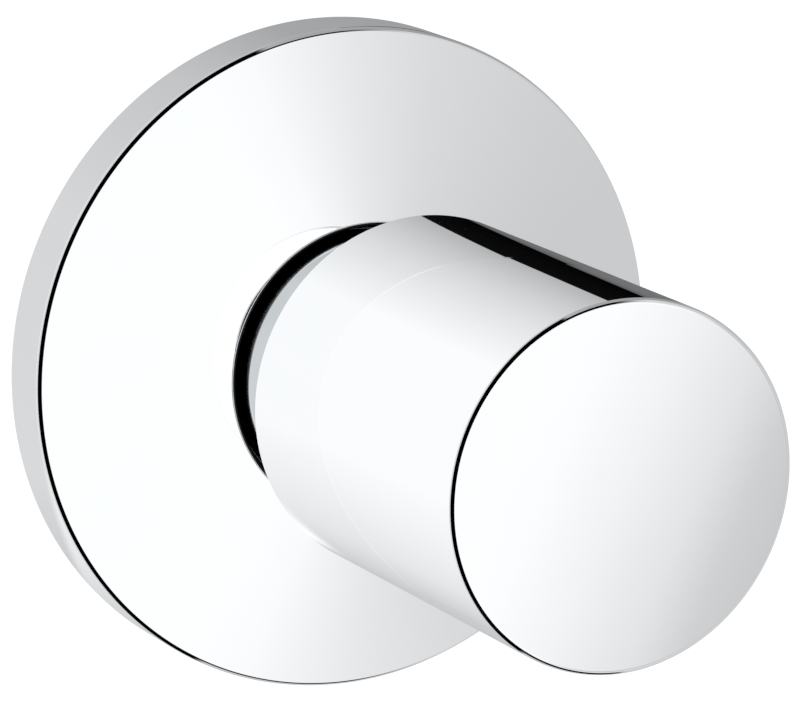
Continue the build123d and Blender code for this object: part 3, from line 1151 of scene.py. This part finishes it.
@dataclass(frozen=True)
class MirrorRoom:
    """The room that polished metal mirrors: pale panels with dark gaps between them.

    Directions have x to the right, y into the wall and z upwards. A turn is an angle in degrees round the
    line of sight. A ramp gives screen values, and a span gives where a soft edge starts and ends.

    Attributes:
        tint: Tint of all panels.
        ahead: Panels in front of the wall, along x. They end at the rear, along y.
        face: The panel before the handle's face, along a slant in x and z. It starts at near.
        side: Panels along the handle's side, by turn, with a dark strip between two of them.
        rim: Panels along the escutcheon's rim, by turn. They lie behind a border, and again from rim_front on.
        gap_bands: Tilts of the edge facets that mirror a dark gap. The gaps lie on the left, on the side that
            gap_lean gives, and reach further back at the bottom.
        twice: Ray depth of a second image, which starts at ring_zero and is white at its ends.
        thrice: Ray depth of a third image, which is white.
    """

    tint: Triple = (0.995, 1.013, 1.031)
    ahead: Ramp = ((0.16, 255), (0.265, 251), (0.435, 231), (0.57, 218), (0.8, 203))
    face: Ramp = ((-1.0, 255), (-0.6, 253), (0.0, 243), (0.6, 228), (1.0, 208), (1.6, 195))
    side: Ramp = (
        (-40.0, 118), (-18.0, 112), (-14.0, 92), (1.6, 180), (22.0, 220), (45.0, 252), (90.0, 252),
        (122.0, 231), (141.0, 203), (160.0, 196),
    )
    rim: Ramp = (
        (-60.0, 200), (-20.0, 155), (10.0, 166), (30.0, 196), (60.0, 214), (105.0, 217),
        (135.0, 198), (180.0, 194),
    )
    rear: Span = (-0.3, -0.12)
    near: Span = (0.955, 0.975)
    slant_centre: Span = (0.467, -0.2502)
    slant_scale: Span = (0.0259, 0.0535)
    border: float = 0.8705
    border_rise: float = 0.0155
    border_turn: Span = (8.0, 60.0)
    border_edge: Span = (-0.0015, 0.0015)
    rim_front: Span = (0.850, 0.842)
    strip_depth: float = 0.992
    strip_start: Span = (-14.0, -13.7)
    strip_end: Span = (1.6, 1.3)
    strip_back: Span = (0.870, 0.866)
    gap_bands: tuple[tuple[Span, Span], ...] = (
        ((0.50, 0.52), (0.68, 0.66)),
        ((0.803, 0.813), (0.925, 0.915)),
    )
    gap_lean: Span = (0.574, 0.819)
    gap_edge: Span = (-0.02, 0.03)
    gap_lift: float = 0.22
    gap_low: Span = (-0.55, -0.75)
    gap_facing: Span = (0.835, 0.815)
    gap_right: Span = (0.62, 0.40)
    twice: Span = (2.4, 2.6)
    thrice: Span = (3.4, 3.6)
    thrice_light: float = 1.05
    ring_zero: float = 0.4
    ring_start: float = 92.0
    ring_scale: float = 1.78
    white_front: Span = (-0.60, -0.635)
    white_back: Span = (-0.2, 0.1)
    white_left: Span = (0.3, 0.1)
    white_light: float = 1.03

    def colour(self, graph: Graph, depth: Wire) -> Wire:
        """The room's colour in the direction of a ray.

        Args:
            graph: The world's graph.
            depth: The ray's depth, which is 2 after one mirroring.

        Returns:
            The colour.
        """
        ray = graph.parts(graph.node("ShaderNodeTexCoord")["Generated"])
        again = depth.step(*self.twice)
        room = self._first_image(ray) * (1.0 - again) + self._second_image(ray) * again
        room = room.larger(depth.step(*self.thrice) * self.thrice_light)
        tinted = {number: room * share for number, share in enumerate(self.tint)}
        return graph.node("ShaderNodeCombineColor", None, tinted)["Color"]

    @staticmethod
    def _along(value: Wire, ramp: Ramp) -> Wire:
        """Brightness along a ramp of screen values.

        Args:
            value: What the ramp runs along.
            ramp: Places and their screen values, in order.

        Returns:
            The brightness.
        """
        start, span = ramp[0][0], ramp[-1][0] - ramp[0][0]
        stops = [((place - start) / span, screen(shown)) for place, shown in ramp]
        inputs = {"Fac": (value - start) / span}
        colour = value.graph.node("ShaderNodeValToRGB", {"stops": stops}, inputs)["Color"]
        return value.graph.node("ShaderNodeRGBToBW", None, {"Color": colour})["Val"]

    @staticmethod
    def _angle(across: Wire, up: Wire) -> Wire:
        """Angle in degrees from up towards across."""
        return across.graph.maths(Op.ARCTAN2, across, up) * (360.0 / FULL_TURN)

    def _strip(self, turn: Wire) -> Wire:
        """The dark strip between two side panels, by turn."""
        return self.strip_depth * turn.step(*self.strip_end) * turn.step(*self.strip_start)

    def _first_image(self, ray: Direction) -> Wire:
        """The room as polished metal mirrors it.

        Args:
            ray: The three parts of the direction.

        Returns:
            The room's brightness in that direction.
        """
        x, y, z = ray
        view_x, view_y, view_z = VIEW
        turn = self._angle(view_x - x, z - view_z)
        border = self.border + self.border_rise * turn.step(*self.border_turn)
        rim = (y - border).step(*self.border_edge).larger(y.step(*self.rim_front))
        side = self._along(turn, self.side) * (1.0 - self._strip(turn) * y.step(*self.strip_back))
        behind = side * (1.0 - rim) + self._along(turn, self.rim) * rim
        rear = y.step(*self.rear)
        room = self._along(x, self.ahead) * (1.0 - rear) + behind * rear
        facing = view_x * x - view_y * y + view_z * z
        near = facing.step(*self.near)
        (centre_x, centre_z), (scale_x, scale_z) = self.slant_centre, self.slant_scale
        slant = (x - centre_x) / scale_x - (z - centre_z) / scale_z
        room = room * (1.0 - near) + self._along(slant, self.face) * near
        return room * (1.0 - self._gaps(ray) * facing.step(*self.gap_facing))

    def _gaps(self, ray: Direction) -> Wire:
        """The dark gaps on the left, which only the facets of front edges mirror in the camera's view.

        Args:
            ray: The three parts of the direction.

        Returns:
            1 in a gap and 0 outside.
        """
        x, y, z = ray
        view_x, view_y, view_z = VIEW
        ahead = view_x * x + view_y * y + view_z * z
        tilt = (view_y - y) / x.graph.maths(Op.SQRT, 2.0 - 2.0 * ahead)
        side_band, front_band = (tilt.step(*start) * tilt.step(*end) for start, end in self.gap_bands)
        lean_x, lean_y = self.gap_lean
        lift = self.gap_lift * z.step(*self.gap_low)
        outwards = (lift - x * lean_x - y * lean_y).step(*self.gap_edge)
        return (side_band + front_band) * outwards * x.step(*self.gap_right)

    def _second_image(self, ray: Direction) -> Wire:
        """The room in the mirror image of a mirror image, which shows no dark gaps.

        Args:
            ray: The three parts of the direction.

        Returns:
            The room's brightness in that direction.
        """
        x, y, z = ray
        ring = self.ring_zero - (self._angle(x + z, z - x) - self.ring_start) / self.ring_scale
        front = self._along(ring, self.side) * (1.0 - self._strip(ring))
        ends = y.step(*self.white_front).larger(y.step(*self.white_back))
        white = ends * x.step(*self.white_left)
        return front * (1.0 - white) + white * self.white_light


@dataclass(frozen=True)
class SoftLamp:
    """A soft square lamp that faces the part.

    Attributes:
        name: Name of the lamp.
        place: Its place, in metres.
        size: Side of the square, in metres.
        power: Its power, in watts.
    """

    name: str
    place: Triple
    size: float
    power: float

    def build(self) -> None:
        """Makes the lamp, which neither the camera nor polished metal sees."""
        lamp = bpy.data.lights.new(self.name, "AREA")
        lamp.size = self.size
        lamp.energy = self.power
        holder = bpy.data.objects.new(self.name, lamp)
        holder.location = self.place
        holder.rotation_euler = (-Vector(self.place)).to_track_quat("-Z", "Y").to_euler()
        holder.visible_glossy = False
        holder.visible_camera = False
        bpy.context.scene.collection.objects.link(holder)


@dataclass
class Studio:
    """White surroundings, a pale floor and the soft lights."""

    floor_level: float = -0.30
    floor_radius: float = 30.0
    floor_steps: int = 96
    floor_colour: Triple = (0.97, 0.97, 0.97)
    floor_white: float = 0.7
    even_light: float = 0.8
    room: MirrorRoom = MirrorRoom()
    lamps: tuple[SoftLamp, ...] = (
        SoftLamp("key_light", (-0.9, -1.6, 1.8), 1.2, 26.0),
        SoftLamp("fill_light", (1.6, 1.2, 1.0), 1.4, 14.0),
        SoftLamp("back_light", (-1.2, 1.8, 0.9), 1.4, 14.0),
    )

    def build(self) -> None:
        """Makes the surroundings, the floor and the lights."""
        self._surroundings()
        self._floor()
        for lamp in self.lamps:
            lamp.build()

    def _surroundings(self) -> None:
        """White to the camera, the room to polished metal and even light to all else."""
        world = bpy.data.worlds.new("studio_room")
        world.use_nodes = True
        bpy.context.scene.world = world
        graph = Graph(world.node_tree)
        path = graph.node("ShaderNodeLightPath")
        even = rgb(self.even_light, self.even_light, self.even_light)
        lit = graph.blend(path["Is Glossy Ray"], even, self.room.colour(graph, path["Ray Depth"]))
        seen = graph.blend(graph.seen_directly(), lit, WHITE)
        sky = graph.node("ShaderNodeBackground", None, {"Color": seen, "Strength": 1.0})
        graph.node("ShaderNodeOutputWorld", None, {"Surface": sky["Background"]})

    def _floor(self) -> None:
        """A wide pale floor well below the part."""
        bm = bmesh.new()
        place = Matrix.Translation((0.0, 0.0, self.floor_level))
        bmesh.ops.create_circle(
            bm, cap_ends=True, radius=self.floor_radius, segments=self.floor_steps, matrix=place
        )
        mesh = bpy.data.meshes.new("studio_floor")
        bm.to_mesh(mesh)
        bm.free()
        floor = bpy.data.objects.new("studio_floor", mesh)
        bpy.context.scene.collection.objects.link(floor)
        mesh.materials.append(self._paper())
        floor.visible_glossy = False

    def _paper(self) -> bpy.types.Material:
        """The floor's pale paper, nearly white to the camera.

        Returns:
            The material.
        """
        paper = bpy.data.materials.new("pale_floor")
        paper.use_nodes = True
        graph = Graph(paper.node_tree)
        dull = graph.node("ShaderNodeBsdfDiffuse", None, {"Color": rgb(*self.floor_colour)})["BSDF"]
        white = graph.node("ShaderNodeEmission", None, {"Color": WHITE, "Strength": 1.0})["Emission"]
        share = graph.seen_directly() * self.floor_white
        mixed = graph.node("ShaderNodeMixShader", None, {0: share, 1: dull, 2: white})
        graph.node("ShaderNodeOutputMaterial", None, {"Surface": mixed["Shader"]})
        return paper


@dataclass
class ProductCamera:
    """The camera at the photograph's viewing angle."""

    place: Triple = (-0.28794, -0.59838, 0.15424)
    forward: Triple = VIEW
    lens: float = 255.64
    sensor: float = 36.0
    clip: Span = (0.01, 100.0)

    def build(self) -> None:
        """Makes the camera and the view settings."""
        camera = bpy.data.cameras.new("product_camera")
        camera.lens = self.lens
        camera.sensor_width = self.sensor
        camera.sensor_fit = "HORIZONTAL"
        camera.clip_start, camera.clip_end = self.clip
        holder = bpy.data.objects.new("product_camera", camera)
        holder.location = self.place
        holder.rotation_euler = Vector(self.forward).to_track_quat("-Z", "Y").to_euler()
        bpy.context.scene.collection.objects.link(holder)
        bpy.context.scene.camera = holder
        bpy.context.scene.view_settings.view_transform = "Standard"


def main() -> None:
    """Builds the part and its studio."""
    ProductCamera().build()
    Studio().build()
    builders: Sequence[Callable[[], Any]] = (
        WallTrim().build,
        NeckSleeve().build,
        HandleCup().build,
        HeadPart().build,
        SeatStack().build,
        InnerWorks().dress,
    )
    for build in builders:
        build()


if __name__ == "__main__":
    main()
